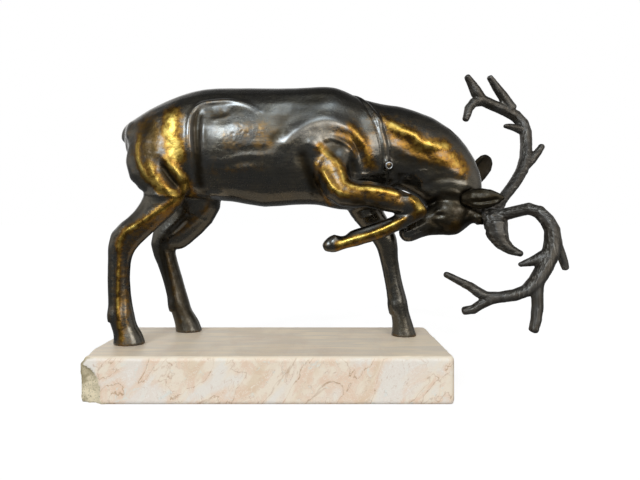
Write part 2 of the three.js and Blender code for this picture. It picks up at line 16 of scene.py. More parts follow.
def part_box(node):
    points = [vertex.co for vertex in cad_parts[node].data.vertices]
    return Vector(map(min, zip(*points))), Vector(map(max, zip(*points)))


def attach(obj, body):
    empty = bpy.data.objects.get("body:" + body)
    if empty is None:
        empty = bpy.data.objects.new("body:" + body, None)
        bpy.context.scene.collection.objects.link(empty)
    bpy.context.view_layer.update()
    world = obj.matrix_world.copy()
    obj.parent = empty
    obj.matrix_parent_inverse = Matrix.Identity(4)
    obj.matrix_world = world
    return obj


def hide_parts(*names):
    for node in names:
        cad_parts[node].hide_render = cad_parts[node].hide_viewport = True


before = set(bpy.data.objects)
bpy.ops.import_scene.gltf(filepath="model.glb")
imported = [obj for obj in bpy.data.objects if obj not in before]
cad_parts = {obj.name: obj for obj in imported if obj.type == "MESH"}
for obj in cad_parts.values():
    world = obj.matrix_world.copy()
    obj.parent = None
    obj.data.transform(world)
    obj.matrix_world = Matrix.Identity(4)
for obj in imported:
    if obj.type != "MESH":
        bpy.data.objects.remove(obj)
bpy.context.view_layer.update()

MM = 0.001
GAP = 0.3  # clearance between the CAD nodes
BODY_NODES = ["body_casting", "neck_head_casting"]
LEG_NODES = ["hind_leg_near", "hind_leg_far", "foreleg_standing", "foreleg_raised"]
SCREW_NODES = ["neck_screw_near", "neck_screw_far"]
STEEL_NODES = ["antler_pin_near", "antler_pin_far"] + [
    part + "_" + hoof for part in ("stud", "washer", "nut") for hoof in ("hind_near", "hind_far", "fore")
]

STAG_Y = 8.0  # the stag's middle plane

# The cells of the even skins that the pieces are carved from.
FIGURE_VOXEL = 1.15
ANTLER_VOXEL = 0.75
EAR_VOXEL = 0.6
SLAB_VOXEL = 1.6

# Rounds of evening out: the whole stag, its tail's root, and the stag again once it is carved.
FIGURE_ROUNDS = 34
TAIL_ROUNDS = 40
CARVED_ROUNDS = 5

PAINTS = ("rub_and_sheen", "patina_and_shade", "shine")  # rubbed metal and painted golden sheen, dark patina and painted shade, and glossy lacquer, each from 0 to 1
BROAD_STROKE = 5  # strokes narrower than this die away towards their ends
FINE_TAPER = 0.7  # the share of the height that they lose there
DEEP_STROKE = 2.5  # hollows this deep hold the darkest patina
HAUNCH = 11.0  # how much further forward the far haunch stands
SHOULDER = 10.0  # and the far shoulder

# Where the tail's root blends into the rump, and where the head's darker patina sets in.
TAIL_X, TAIL_Z = (-118, -126), (218, 228)
HEAD_X, HEAD_Z = (134, 150), (192, 178)
HEAD_DARKNESS = 0.74

# The pitted, rubbed patch on the near flank, [x, z], and half its width and height.
PATCH_MIDDLE = [-25, 233]
PATCH_REACH = [13, 10]

EAR_OPENING = 1.5  # how far an ear's opening lies off its middle line
GRAIN_ROUNDS = 40  # the more, the longer the grain of the antlers
VEIN_SLANT = -32  # degrees by which the marble's bands lean

# The neck's screws: the radii of head and shank, and the sides of their rings.
SCREW_HEAD = 3.7
SCREW_SHANK = 2.0
SCREW_SIDES = 40

# The seam round the neck's root, and the planes across the four legs, each as a point and a normal.
SEAM_POINT = [78, 8.4, 275]
SEAM_SWEEP = 0.6
SEAM_SLANT = 0.19
LEG_CUTS = {
    "hind_leg_near": ([-98, -16, 177], [-0.1, 0, -0.99]),
    "hind_leg_far": ([-90, 34, 162], [-0.4, 0, -0.92]),
    "foreleg_standing": ([97, 16, 161], [0.35, 0, -0.94]),
    "foreleg_raised": ([57, -20, 195], [0.1, -0.3, -0.95]),
}


def box_mm(node):
    """The lowest and the highest corner of a CAD node, in millimetres."""
    low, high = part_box(node)
    return np.array(low) / MM, np.array(high) / MM


def node_points(node):
    """The points of a CAD node, in metres."""
    return np.array([v.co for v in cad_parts[node].data.vertices])


# Where each antler's burr meets the head, and each ear's root, tip and the way it opens.
BURRS = {"antler_near": [202, -6, 157], "antler_far": [204, 13, 165.5]}
EARS = {
    "ear_near": ([180, -8, 175], [211, -23, 175], [0.2, -0.75, -0.65]),
    "ear_far": ([191, 15, 188], [216, 30, 219], [-0.55, -0.6, 0.6]),
}
FIRST_ANTLER_SEED = 21
SLAB_LOW, SLAB_HIGH = box_mm("marble_base")
SOLE_Z = box_mm("foreleg_standing")[0][2]

# What broke the slab's near left corner, each as a centre and radii: the knocked-off top edge, and the flake.
KNOCK = ([SLAB_LOW[0] - 3, SLAB_LOW[1] - 2, SLAB_HIGH[2] + 3], [9, 32, 10])
FLAKE = ([SLAB_LOW[0] - 4, SLAB_LOW[1] - 12, 6], [34, 18, 46])


def linked(name, data):
    """A new object in the scene."""
    obj = bpy.data.objects.new(name, data)
    bpy.context.scene.collection.objects.link(obj)
    return obj


def stored(name, mesh):
    """The data of a bmesh, which is freed."""
    data = bpy.data.meshes.new(name)
    mesh.to_mesh(data)
    mesh.free()
    return data


# ---- meshes as arrays


class Skin:
    """The points of an object's mesh in millimetres, with their neighbours and normals."""

    def __init__(self, obj):
        self.obj = obj
        mesh = obj.data
        self.count = len(mesh.vertices)
        flat = np.empty(self.count * 3, np.float32)
        mesh.vertices.foreach_get("co", flat)
        self.points = flat.reshape(-1, 3).astype(float) / MM
        edges = np.empty(len(mesh.edges) * 2, np.int32)
        mesh.edges.foreach_get("vertices", edges)
        edges = edges.reshape(-1, 2)
        ends = np.concatenate([edges, edges[:, ::-1]])
        ends = ends[np.argsort(ends[:, 0], kind="stable")]
        counts = np.bincount(ends[:, 0], minlength=self.count)
        starts = np.concatenate([[0], np.cumsum(counts)[:-1]])
        width = counts.max()
        self.neighbours = np.tile(np.arange(self.count)[:, None], (1, width))
        self.neighbours[ends[:, 0], np.arange(len(ends)) - starts[ends[:, 0]]] = ends[:, 1]
        self.share = (np.arange(width)[None, :] < counts[:, None]) / np.maximum(counts, 1)[:, None]
        self.update()

    def update(self):
        """Writes the points to the mesh and reads its normals, evened out a little."""
        mesh = self.obj.data
        mesh.vertices.foreach_set("co", (self.points * MM).astype(np.float32).ravel())
        mesh.update()
        flat = np.empty(self.count * 3, np.float32)
        mesh.vertex_normals.foreach_get("vector", flat)
        normals = self.relaxed(flat.reshape(-1, 3).astype(float), 2)
        self.normals = normals / np.maximum(norm(normals, axis=1), 1e-9)[:, None]

    def relaxed(self, values, rounds, strength=0.5):
        """The values after each point has moved towards the mean of its neighbours, a number of times."""
        values = values.copy()
        flat = values.ndim == 1
        if flat:
            values = values[:, None]
        for _ in range(rounds):
            mean = np.einsum("ij,ijk->ik", self.share, values[self.neighbours])
            values += strength * (mean - values)
        return values[:, 0] if flat else values

    def smooth(self, rounds, keep=None):
        """Evens out facets without thinning the limbs. `keep` is how far each point stays where it was."""
        once = self.relaxed(self.points, rounds)
        twice = self.relaxed(once, rounds)
        moved = 2 * once - twice
        if keep is not None:
            moved += keep[:, None] * (self.points - moved)
        self.points = moved
        self.update()

    def push(self, distance):
        """Moves each point along its normal."""
        self.points += self.normals * distance[:, None]
        self.update()

    def paint(self, name, values):
        """Stores one value for each point, for the materials to read."""
        attribute = self.obj.data.attributes.new(name, "FLOAT", "POINT")
        attribute.data.foreach_set("value", values.astype(np.float32))


def soft_step(low, high, value):
    t = np.clip((value - low) / (high - low), 0, 1)
    return t * t * (3 - 2 * t)


def bell(off, width):
    return np.exp(-((off / width) ** 2))


def noise_at(points, size, seed=0):
    """Smooth noise between about -1 and 1, with lumps of about `size` millimetres."""
    shifted = points / size + [seed * 17.3, seed * 5.1, seed * 11.7]
    return np.array([noise.noise(Vector(p)) for p in shifted])


def curve_through(path, steps=6):
    """Points along a smooth curve through the path's points."""
    p = np.array(path, float)
    if len(p) < 3:
        return np.array([p[0] + (p[-1] - p[0]) * t for t in np.linspace(0, 1, steps + 1)])
    p = np.vstack([2 * p[0] - p[1], p, 2 * p[-1] - p[-2]])
    made = []
    for a, b, c, d in zip(p, p[1:], p[2:], p[3:]):
        slope = c - a
        bend = 2 * a - 5 * b + 4 * c - d
        twist = 3 * b - a - 3 * c + d
        for t in np.arange(steps) / steps:
            made.append(0.5 * (2 * b + slope * t + bend * t**2 + twist * t**3))
    made.append(p[-2])
    return np.array(made)


def near_path(points, path, reach):
    """For points within reach: distance to the path, place along it from 0 to 1, and their numbers."""
    line = curve_through(path)
    low, high = line.min(0) - reach, line.max(0) + reach
    close = np.all((points >= low) & (points <= high), axis=1).nonzero()[0]
    spot = points[close]
    best = np.full(len(close), 1e9)
    place = np.zeros(len(close))
    lengths = norm(np.diff(line, axis=0), axis=1)
    total = max(lengths.sum(), 1e-9)
    start = 0.0
    for a, b, length in zip(line, line[1:], lengths):
        along = b - a
        t = np.clip((spot - a) @ along / max(length**2, 1e-12), 0, 1)
        distance = norm(spot - a - t[:, None] * along, axis=1)
        nearer = distance < best
        best[nearer] = distance[nearer]
        place[nearer] = ((start + t * length) / total)[nearer]
        start += length
    return best, place, close


# ---- solids from the frame


def keep_largest(obj):
    """Drops every loose part of the mesh but the largest: the hollow inside a casting, and crumbs."""
    skin = Skin(obj)
    label = np.arange(skin.count)
    while True:
        lower = np.minimum(label, label[skin.neighbours].min(axis=1))
        lower = lower[lower]
        if np.array_equal(lower, label):
            break
        label = lower
    names, sizes = np.unique(label, return_counts=True)
    dropped = label != names[sizes.argmax()]
    mesh = bmesh.new()
    mesh.from_mesh(obj.data)
    mesh.verts.ensure_lookup_table()
    bmesh.ops.delete(mesh, geom=[mesh.verts[i] for i in dropped.nonzero()[0]], context="VERTS")
    mesh.to_mesh(obj.data)
    mesh.free()


def remeshed(name, nodes, voxel, grow=0.0):
    """One even skin over the given CAD nodes, each swollen by `grow` millimetres."""
    mesh = bmesh.new()
    for node in nodes:
        part = bmesh.new()
        part.from_mesh(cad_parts[node].data)
        bmesh.ops.remove_doubles(part, verts=part.verts, dist=1e-6)
        part.normal_update()
        for v, normal in [(v, v.normal.copy()) for v in part.verts]:
            v.co += normal * grow * MM
        swollen = stored(node + "_swollen", part)
        mesh.from_mesh(swollen)
        bpy.data.meshes.remove(swollen)
    data = stored(name, mesh)
    obj = linked(name, data)
    remesh = obj.modifiers.new("remesh", "REMESH")
    remesh.mode = "VOXEL"
    remesh.voxel_size = voxel * MM
    remesh.use_smooth_shade = True
    graph = bpy.context.evaluated_depsgraph_get()
    even = bpy.data.meshes.new_from_object(obj.evaluated_get(graph))
    obj.modifiers.clear()
    obj.data = even
    bpy.data.meshes.remove(data)
    keep_largest(obj)
    return obj


# ---- the stag's modelling


class Sculptor:
    """Gathers ridges and hollows drawn on the stag's sides, and paints them, then moves the skin once."""

    def __init__(self, skin, paint):
        self.skin = skin
        self.paint = paint
        self.side = skin.points[:, [0, 2]]
        self.lift = np.zeros(skin.count)
        y = skin.points[:, 1]
        facing = skin.normals[:, 1]
        near = soft_step(-0.05, 0.3, -facing)
        far = soft_step(-0.05, 0.3, facing)
        self.masks = {
            "near": near * (y < STAG_Y),
            "far": far * (y > STAG_Y),
            "inner_near": far * (y < STAG_Y),
            "inner_far": near * (y > STAG_Y + 4),
        }

    def cover(self, name, close, amount):
        """Paints some of the points, where they hold less than the amount."""
        self.paint[name][close] = np.maximum(self.paint[name][close], amount)

    def stroke(self, path, width, height, where="near", shift=0, gold=0, spread=None, dark=None, shine=0):
        """A ridge, or a groove where `height` is negative, along a path on one side.

        `gold` is how much rubbed metal and painted golden sheen it gets and `spread` how wide, `shine` is how
        glossy its lacquer is, and `dark` is how much dark patina and painted shade it holds: by default, as
        much as it is deep.
        """
        line = [[x + shift, z] for x, z in path]
        distance, place, close = near_path(self.side, line, 2.6 * max(width, spread or 0))
        mask = self.masks[where][close]
        taper = FINE_TAPER if width < BROAD_STROKE else 0
        ends = 1 - taper * (1 - soft_step(0, 0.3, np.minimum(place, 1 - place)))
        section = bell(distance, width) * ends * mask
        self.lift[close] += height * section
        if dark is None:
            dark = min(1.0, max(0.0, -height / DEEP_STROKE))
        # dark patina in hollows, and painted shade where strokes lay it on to dim reflections
        self.cover("patina_and_shade", close, dark * section)
        self.cover("shine", close, shine * bell(distance, 1.3 * width) * mask)
        # rubbed metal, and golden sheen painted as colour on the broad lit forms
        self.cover("rub_and_sheen", close, gold * bell(distance, spread or 1.3 * width) * mask)

    def both(self, path, width, height, far_shift=0, **options):
        """The same stroke on both sides, shifted forward by `far_shift` on the far one."""
        self.stroke(path, width, height, "near", **options)
        self.stroke(path, width, height, "far", shift=far_shift, **options)


def sculpt_masses(s):
    """The broad forms: haunch, flank panel, belly, shoulder blade and neck."""
    # On the haunch: a golden sheen painted on its front slope, and painted shade with a little gold over its
    # rear, where it would catch the window.
    s.both([[-90, 250], [-89, 236], [-85, 214]], 10, 1.5, HAUNCH, gold=0.95, spread=9)
    s.both([[-110, 238], [-108, 214]], 12, 0, HAUNCH, gold=0.42, spread=16, dark=0.8)
    s.both([[-66.5, 250], [-66.5, 230], [-66, 205], [-67, 188]], 5.5, -2.0, HAUNCH)
    s.both([[-129, 228], [-120, 204], [-109, 187]], 6, -1.2, HAUNCH)
    s.both([[-52, 252], [-44, 251.5]], 8, -1.9, gold=0.12, dark=0.55)
    s.both([[-38, 229], [-25, 235], [-4, 238]], 13, 0.8, gold=0.17, spread=12)
    s.both([[-26, 234], [-8, 234]], 11, 0.3, gold=0.24, spread=10)
    # painted shade down the flank's left edge, dimming a bluish reflection
    s.both([[-58, 240], [-57, 222]], 6, 0, dark=0.5)
    s.both([[-45, 190], [-20, 186], [10, 190]], 12, -1.2, dark=0.1)
    s.both([[10, 244], [22, 258], [42, 266]], 10, -1.2)
    s.both([[56, 217], [62, 222]], 9, -2.6, SHOULDER, dark=0.7)
    s.both([[20, 224], [27, 232]], 8, 0.3, SHOULDER, shine=0.8)
    s.both([[76, 207], [77, 198]], 6, -1.6, SHOULDER)
    s.stroke([[29, 212], [34, 197], [43, 180]], 6, -2.2)
    s.both([[104, 247], [125, 240], [146, 231]], 10, 1.3, gold=0.25, spread=9)
    s.both([[116, 213], [138, 207], [156, 200]], 10, -1.3)


def sculpt_haunch(s):
    """The line that frames the haunch, its rear edge, and the folds above the hock's tendon."""
    frame_line = [[-70, 184], [-72, 212], [-73.5, 235], [-71.5, 251], [-64, 260], [-52, 262.8], [-36, 263.5]]
    rear = [[-120, 231], [-121, 217], [-118, 205], [-111, 193], [-98, 181]]
    s.both(frame_line + [[-22, 260], [-10, 253]], 2.4, 1.7, HAUNCH * 0.5, shine=1.0)
    s.both([[-61.5, 246], [-61, 226], [-61, 203]], 1.9, 1.1, HAUNCH * 0.5, shine=1.0)
    s.both([[-54, 245.5], [-46, 246.5], [-37, 249.5]], 2.4, 0.6, shine=0.8)
    s.both(rear, 2.4, 1.1, HAUNCH, gold=0.8, spread=3.4)
    s.both([[-99.5, 208], [-93, 197], [-86, 188], [-79.5, 181]], 3.8, -3.2, HAUNCH)
    folds = [(3.6, 1.1, [[-108, 206], [-104, 194], [-93, 182], [-86, 177]])]
    folds += [(3.2, 1.2, [[-94, 209], [-84, 198], [-79, 189], [-78, 179]])]
    for width, height, fold in folds:
        s.both(fold, width, height, HAUNCH, gold=0.75, spread=6)


def sculpt_hind_legs(s):
    """Edges, tendons and hollows of both hind legs."""
    near = [[-80, 178], [-90, 170], [-105, 160], [-120, 150.5], [-130, 145], [-136, 137], [-138.5, 128]]
    cannon = [[-137.5, 131], [-138, 122], [-139, 108], [-139.5, 91], [-139.5, 75], [-137.5, 58], [-135, 46]]
    for where in ("near", "inner_near"):
        # golden sheen painted along the near hind leg's ridges, with rubbed gold
        s.stroke(near, 3.0, 1.8, where, gold=0.62, spread=4.4)
        s.stroke([[-84, 167], [-98, 158], [-112, 147], [-124, 139], [-131, 128]], 5, 0, where, gold=0.3)
        s.stroke(cannon, 1.5, 1.5, where, gold=0.6, spread=2.4)
        s.stroke(cannon, 5, 0, where, gold=0.25)
        s.stroke([[-132, 128], [-133, 112], [-133, 90], [-132, 60]], 2.4, 0.7, where, gold=0.25)
        s.stroke([[-112, 171], [-122, 161], [-131, 153]], 4, -1.2, where)
        s.stroke([[-142.5, 138], [-143, 120], [-143.5, 100], [-143.5, 72]], 1.5, -0.8, where)
        s.stroke([[-131, 152], [-138, 146], [-143, 140]], 2.2, 0.9, where)
    thigh = [[-62, 186], [-70, 168], [-84, 154], [-98, 143], [-108, 135]]
    shin = [[-108, 135], [-112, 124], [-110, 110], [-106, 90], [-101, 66], [-97, 52]]
    shank = [[-112, 123], [-107, 100], [-101, 79], [-91, 49]]
    for where in ("far", "inner_far"):
        # painted shade on the far hind leg, dimming the reflections on its front
        s.stroke(shank, 9, 0, where, dark=0.7)
        s.stroke(thigh, 3.4, 1.1, where, gold=0.25, spread=4, dark=0.45)
        s.stroke(shin, 3.0, 0.9, where, gold=0.2, spread=3, dark=0.45)
        s.stroke([[-90, 158], [-101, 147], [-110, 140]], 3.5, -1.0, where)
        s.stroke([[-116, 124], [-114, 108], [-110, 88], [-106, 72]], 1.5, -0.6, where)


def sculpt_trunk(s):
    """The tail's ridge, the lower ribs and the fold in front of the thigh."""
    s.both([[-134, 251], [-135.5, 240], [-134, 229]], 4, 2.0)
    lowest_rib = [[-60, 211], [-51, 209], [-40, 208.5], [-25, 212.5], [-9, 213], [0, 214]]
    s.both(lowest_rib, 2.6, 0.5, gold=0.1, shine=0.8)
    s.both([[-58, 205.5], [-42, 204], [-24, 207], [-7, 208]], 3.4, -0.35)
    s.both([[-54, 200], [-40, 199.5], [-24, 202], [-8, 203]], 3.4, 0.35, gold=0.22, spread=5)
    s.both([[-38, 223], [-20, 222], [4, 224.5]], 4.0, 0.35, gold=0.2, spread=6)
    s.both([[-62, 176], [-56, 180], [-46, 179]], 3.0, 1.8, shine=1.0)


def sculpt_shoulder(s):
    """The shoulder blade with its rim, and the front of the chest."""
    blade = [[14, 224], [18, 229], [24, 234], [34, 240.5], [45, 244], [54, 244.5]]
    blade += [[64, 242], [74, 237], [81, 228]]
    front = [[74, 238], [81, 229], [87, 218], [91, 206]]
    above = [[4, 228], [11, 237], [22, 246], [36, 252.5], [54, 254.5], [72, 249]]
    rim = [[49, 228], [56, 229], [66, 225], [72, 221], [77, 213], [81, 203], [83, 197]]
    s.both(blade, 6.5, 1.5, SHOULDER, shine=0.9)
    # painted shade on the shoulder's front corner, dimming a bright reflection
    s.both([[3, 229], [12, 234]], 6, 0, SHOULDER, dark=0.8)
    s.both(above, 7, -0.5, SHOULDER, dark=0)
    s.both(front, 4.6, 1.0, SHOULDER, gold=0.62, spread=7)
    s.both(rim, 2.3, 1.4, SHOULDER, gold=0.1, shine=0.8)
    s.both([[38, 224], [40, 221]], 6, 1.6, SHOULDER, shine=1.0)
    s.both([[62, 235], [72, 229], [78, 219]], 4.5, -0.5, SHOULDER, gold=0.45, spread=7, dark=0)
    s.both([[72, 232], [78, 222], [80, 210]], 1.6, -0.5, SHOULDER)


def sculpt_forelegs(s):
    """The raised foreleg with its folded cannon and hoof, and the standing one."""
    arm = [[44, 220], [52, 214], [57, 209], [62, 203], [65, 196], [67, 189], [72, 185]]
    forearm = [[72, 184], [86, 182], [100, 181], [117, 177], [128, 171]]
    # golden sheen painted along the raised foreleg's ridges, and gold over the bright facet of the upper arm
    s.stroke(arm, 4.2, 1.2, gold=0.6, spread=5)
    s.stroke([[46, 208], [53, 197], [61, 184]], 3.0, -0.5, gold=0.45, spread=6, dark=0.5)
    s.stroke(forearm, 3.0, 1.0, gold=0.72, spread=3.6)
    s.stroke([[126, 175], [133, 166]], 5, 0.6, gold=0.95, spread=7)
    s.stroke([[121, 177], [128, 171], [130, 164]], 1.8, 0.9)
    s.stroke([[74, 177], [92, 176], [110, 173], [124, 169]], 6, 0, gold=0.36, spread=6)
    s.stroke([[74, 189.5], [90, 188.5], [106, 185]], 1.8, -0.9)
    s.stroke([[66, 172], [90, 168], [110, 165]], 3.6, -0.4, dark=0.8)
    s.stroke([[43, 205], [50, 194], [55, 185], [62, 179], [69, 176.5]], 2.8, 1.3, gold=0.62, spread=4)
    s.stroke([[40, 208], [41.5, 193], [48, 180], [54, 169]], 2.2, 1.4, gold=0.35)
    s.stroke([[113, 184], [118, 179], [123, 175]], 1.5, -0.9)
    s.stroke([[114, 172], [119, 177], [123, 181]], 1.5, -0.9)
    cannon = [[133, 163], [120, 155.5], [106, 148.5], [92, 142.5], [78, 138], [62, 133.5]]
    for where in ("near", "inner_near"):
        s.stroke(cannon, 2.0, 1.0, where, gold=0.95, spread=3)
        s.stroke([[x, z - 4] for x, z in cannon], 5, 0, where, gold=0.45, spread=4)
        s.stroke([[118, 160], [104, 152], [88, 146], [72, 142]], 2.0, -0.8, where)
        s.stroke([[59, 141], [57, 139.5]], 2.6, 1.3, where)
        s.stroke([[63.5, 142], [63, 136]], 1.6, -1.1, where)
        s.stroke([[52, 137], [55, 128]], 1.4, -0.7, where)
    standing = [[92, 176], [102, 154], [110, 138], [113, 120], [116, 102], [119, 86], [123, 66], [126, 54]]
    for where in ("far", "inner_far"):
        s.stroke(standing, 2.4, 1.2, where, gold=0.15, spread=2.6)
        s.stroke([[121, 70], [125, 58], [128, 46]], 1.4, 1.0, where, gold=0.3)
        s.stroke([[107, 140], [109, 118], [112, 96], [115, 76]], 1.6, -0.6, where)
        s.stroke([[108, 150], [114, 140]], 3, 0.9, where)


def sculpt_neck(s):
    """The long muscle of the neck, and the throat."""
    muscle = [[96, 251], [106, 244.5], [116, 239], [125, 235.5]]
    muscle += [[133, 232], [137, 226.5], [146, 223.5], [161, 224]]
    below = [[103, 240], [112, 232], [124, 227], [131, 222], [146, 216]]
    # golden sheen painted along the neck's muscle and throat
    s.both(muscle, 4.6, 1.3, gold=0.72, spread=7)
    s.both(below, 6, -0.8, gold=0.48, spread=10, dark=0)
    s.both([[168, 213], [177, 203]], 8, 0.4, gold=0.55, spread=9, dark=0.25)
    s.both([[144, 215], [156, 211], [166, 207]], 4, 0.6, gold=0.5, spread=6)
    s.both([[110, 225], [124, 216], [142, 211], [160, 204], [178, 196]], 2.6, 0.4)
    # painted shade along the neck's underside, above the jaw
    s.both([[138, 185], [146, 189.5], [153, 193], [167, 194], [180, 191], [188, 187]], 3.0, -0.6, dark=0.6)
    s.both([[112, 200], [124, 193], [134, 186]], 5, -1.0)
    s.both([[178, 190], [186, 186], [191, 181]], 2.4, 0.5)


def sculpt_head(s):
    """Cheek, brow, eye, nostril and mouth."""
    cheek = [[146, 175], [154, 180], [162, 181.5], [172, 180], [178, 175], [177, 168]]
    s.both(cheek, 2.6, 0.8)
    s.both([[160, 171], [167, 170]], 7, 1.0)
    s.both([[149, 155], [158, 149], [166, 144]], 2.8, -1.6)
    # a brown sheen painted on the brow
    s.both([[171, 150], [173, 149]], 6, 1.5, gold=0.5, spread=6)
    s.both([[152.5, 160.4], [156, 163.6], [160.5, 162.2]], 1.5, 1.3)
    s.both([[153, 158.8], [157, 159.8], [161, 159.1]], 1.6, -1.2)
    s.both([[156.5, 161.2], [157.5, 161.2]], 1.5, 1.0)
    s.both([[124, 146], [134, 149.5], [145, 155]], 2.2, -0.7)
    s.both([[122.5, 140], [130, 141.5], [140, 146], [147, 150]], 1.1, -1.0)
    s.both([[123.5, 146.5], [126.5, 147]], 1.5, -1.5)
    s.both([[122, 143.8], [127, 144.6]], 1.6, 0.7)
    s.both([[185, 172], [184, 163], [180, 155]], 2.4, -0.8)


def seam_distance(points):
    """How far each point lies beyond the seam round the neck's root."""
    off = points - SEAM_POINT
    length = math.sqrt(1 + SEAM_SWEEP**2 + SEAM_SLANT**2)
    leaning = off[:, 0] + SEAM_SLANT * off[:, 2]
    return (leaning - SEAM_SWEEP * np.abs(off[:, 1])) / length


def add_seam_rib(skin):
    """The rounded rib that covers the seam, with the thin grooves beside it."""
    p = skin.points
    distance = seam_distance(p)
    on_shoulder = soft_step(184, 190, p[:, 2]) * (p[:, 1] < -10) + (p[:, 1] >= -10)
    on_shoulder = on_shoulder * soft_step(160, 172, p[:, 2])
    rib = 0.9 * np.exp(-((distance / 2.3) ** 4)) - 0.5 * bell(np.abs(distance) - 3.7, 1.1)
    ripple = 1 + 0.12 * noise_at(p, 9, 3) * (np.abs(distance) < 6)
    skin.push(rib * ripple * on_shoulder)


def add_brazing(skin):
    """The lumpy bead where each leg is brazed to its root."""
    p = skin.points
    lift = np.zeros(skin.count)
    for leg, (point, normal) in LEG_CUTS.items():
        low, high = box_mm(leg)
        height = (p - point) @ normal / norm(normal)
        near = np.all((p > low - 3) & (p < high + 3), axis=1) & (np.abs(height) < 5)
        spot = p[near]
        wander = 1.3 * noise_at(spot, 9, 5)
        bead = 0.5 * bell(height[near] + wander, 1.4)
        lift[near] += bead * (0.6 + 0.4 * noise_at(spot, 2.6, 8))
    skin.push(lift)


def add_burr_lumps(skin):
    """Rough lumps on the ends of the pedicles, up against the burrs."""
    lift = np.zeros(skin.count)
    for burr in BURRS.values():
        off = norm(skin.points - burr, axis=1)
        close = (off < 15).nonzero()[0]
        lumps = 1.5 * noise_at(skin.points[close], 3.8, 15) + 0.5
        lift[close] += lumps * soft_step(15, 8, off[close])
    skin.push(lift)


def add_hooves(skin):
    """Clefts and dewclaws on the three standing hooves, with flat soles."""
    p = skin.points
    lift = np.zeros(skin.count)
    for leg in ("hind_leg_near", "hind_leg_far", "foreleg_standing"):
        part = node_points(leg) / MM
        sole = part[part[:, 2] < SOLE_Z + 0.5]
        x, y = (sole.max(0) + sole.min(0))[:2] / 2
        fetlock = part[np.abs(part[:, 2] - SOLE_Z - 22) < 6]
        heel = fetlock[:, 0].min()
        here = (np.abs(p[:, 0] - x) < 30) & (np.abs(p[:, 1] - y) < 16) & (p[:, 2] < SOLE_Z + 45)
        height = p[:, 2] - SOLE_Z
        off = p[:, 1] - y
        forward = soft_step(0.2, 0.7, skin.normals[:, 0])
        cleft = -1.5 * bell(off, 1.1) * forward * soft_step(19, 12, height)
        rim = 0.25 * bell(height - 1.5, 2.0)
        backward = 1 - soft_step(2, 8, p[:, 0] - heel)
        claws = soft_step(19.5, 21.5, height) * soft_step(38, 24, height) * backward
        split = 1 - 0.8 * bell(off, 1.0)
        lift[here] += (cleft + rim + 1.6 * claws * split)[here]
    skin.push(lift)
    skin.points[:, 2] = np.maximum(skin.points[:, 2], SOLE_Z)
    skin.update()


def add_cast_texture(skin):
    """Slight undulation all over, and pits in the rubbed patch on the flank."""
    p = skin.points
    lift = 0.16 * noise_at(p, 18, 1) + 0.07 * noise_at(p, 7, 2)
    off = (p[:, [0, 2]] - PATCH_MIDDLE) / PATCH_REACH
    patch = np.exp(-(off**2).sum(axis=1)) * (skin.normals[:, 1] < -0.2)
    there = (patch > 0.05).nonzero()[0]
    pits = np.minimum(0, noise_at(p[there], 2.6, 4) + 0.2)
    lift[there] += pits * patch[there]
    skin.push(lift)


def sculpted_figure():
    """The whole bronze stag, without ears and antlers, as one even skin."""
    obj = remeshed("figure", BODY_NODES + LEG_NODES + SCREW_NODES, FIGURE_VOXEL, GAP * 0.85)
    skin = Skin(obj)
    low = skin.points[:, 2] - SOLE_Z
    at_sole = soft_step(5, 1, low)
    skin.smooth(FIGURE_ROUNDS, keep=at_sole)
    x, _, z = skin.points.T
    skin.smooth(TAIL_ROUNDS, keep=1 - soft_step(*TAIL_X, x) * soft_step(*TAIL_Z, z))
    paint = {name: np.zeros(skin.count) for name in PAINTS}
    behind = [sculpt_haunch, sculpt_hind_legs, sculpt_trunk]
    before = [sculpt_shoulder, sculpt_forelegs, sculpt_neck, sculpt_head]
    for shapes in ([sculpt_masses], behind + before):
        s = Sculptor(skin, paint)
        for shape in shapes:
            shape(s)
        skin.push(s.lift)
    skin.smooth(CARVED_ROUNDS, keep=at_sole)
    add_seam_rib(skin)
    add_hooves(skin)
    add_cast_texture(skin)
    add_brazing(skin)
    add_burr_lumps(skin)
    paint["rub_and_sheen"] *= 1 - 0.85 * bell(seam_distance(skin.points), 5)
    paint["patina_and_shade"] = np.maximum(paint["patina_and_shade"], dark_head(skin.points))
    for name, values in paint.items():
        skin.paint(name, skin.relaxed(values, 3))
    skin.paint("crest", crest_of(skin))
    return obj


def dark_head(points):
    """The head and throat are darker and duller than the rest."""
    dark = HEAD_DARKNESS * soft_step(*HEAD_X, points[:, 0]) * soft_step(*HEAD_Z, points[:, 2])
    for burr in BURRS.values():
        dark = np.maximum(dark, soft_step(17, 9, norm(points - burr, axis=1)))
    return dark


def crest_of(skin):
    """0 in hollows, 0.5 on flat skin and 1 on crests, measured over a few millimetres."""
    around = skin.relaxed(skin.points, 14)
    height = skin.relaxed(np.einsum("ij,ij->i", skin.points - around, skin.normals), 4)
    return np.clip(0.5 + 0.8 * height, 0, 1)


# ---- parting the figure into its castings


def part_of(points):
    """The name of the casting that each point of the figure belongs to."""
    names = np.full(len(points), "body_casting", dtype=object)
    names[seam_distance(points) > 0] = "neck_head_casting"
    for leg, (point, normal) in LEG_CUTS.items():
        low, high = box_mm(leg)
        inside = np.all((points > low - 2.5) & (points < high + 2.5), axis=1)
        below = (points - point) @ np.array(normal, float) > 0
        names[inside & below] = leg
    return names


def plane_cut(mesh, region, point, normal):
    """Adds edges where a plane crosses the faces of a region."""
    faces = [f for f in mesh.faces if region(f.calc_center_median() / MM)]
    edges = {e for f in faces for e in f.edges}
    verts = {v for f in faces for v in f.verts}
    bmesh.ops.bisect_plane(
        mesh,
        geom=list(verts) + list(edges) + faces,
        dist=1e-7,
        plane_co=Vector(point) * MM,
        plane_no=Vector(normal).normalized(),
    )


